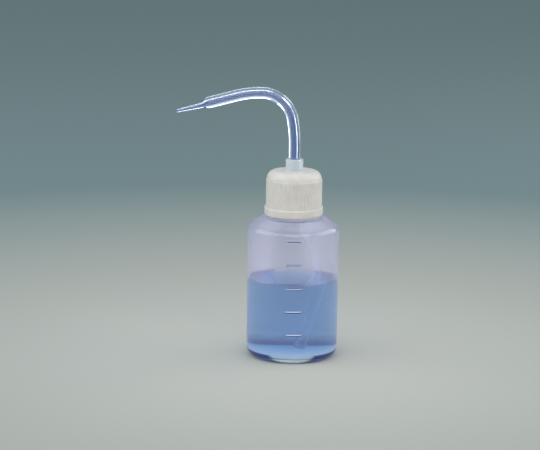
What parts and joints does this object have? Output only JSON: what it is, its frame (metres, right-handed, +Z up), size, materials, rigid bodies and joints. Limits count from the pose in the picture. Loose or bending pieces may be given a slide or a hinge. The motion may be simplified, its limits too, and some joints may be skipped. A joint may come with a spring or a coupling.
{
  "type": "laboratory wash bottle",
  "caption": "Small squeeze bottle with a screw cap, a bent spout drawn to a fine tip and an inner dip tube, partly filled with pale blue liquid, for rinsing glassware.",
  "frame": {"origin": "centre of the base, on the surface that the bottle stands on", "axes": "+Z up along the bottle's axis, -X the way the spout points, -Y the side with the volume marks"},
  "size_m": [0.0847, 0.0476, 0.1405],
  "materials": {
    "clear_bottle": "gloss",
    "cap_plastic": "satin",
    "plug_plastic": "satin",
    "clear_tube": "gloss",
    "dip_plastic": "satin",
    "blue_liquid": "gloss"
  },
  "bodies": {
    "bottle_body": {"bottle": "clear_bottle", "liquid": "blue_liquid"},
    "plug_body": {"inner_plug": "plug_plastic", "dip_tube": "dip_plastic"},
    "cap_body": {"screw_cap": "cap_plastic"},
    "spout_body": {"spout_tube": "clear_tube"}
  },
  "joints": [
    {"name": "plug_rise", "type": "slide", "parent": "bottle_body", "child": "plug_body", "axis": [0, 0, 1], "range_m": [0, 0.00526], "deforming": ["liquid"]},
    {"name": "cap_turn", "type": "hinge", "parent": "plug_body", "child": "cap_body", "pos_m": [0, 0, 0.09], "axis": [0, 0, 1], "range_deg": [0, 540]},
    {"name": "spout_swivel", "type": "hinge", "parent": "plug_body", "child": "spout_body", "pos_m": [0, 0, 0.098], "axis": [0, 0, 1], "continuous": true}
  ],
  "couplings": [
    {"joint": "plug_rise", "follows": "cap_turn", "m_per_rad": 0.00055704}
  ]
}
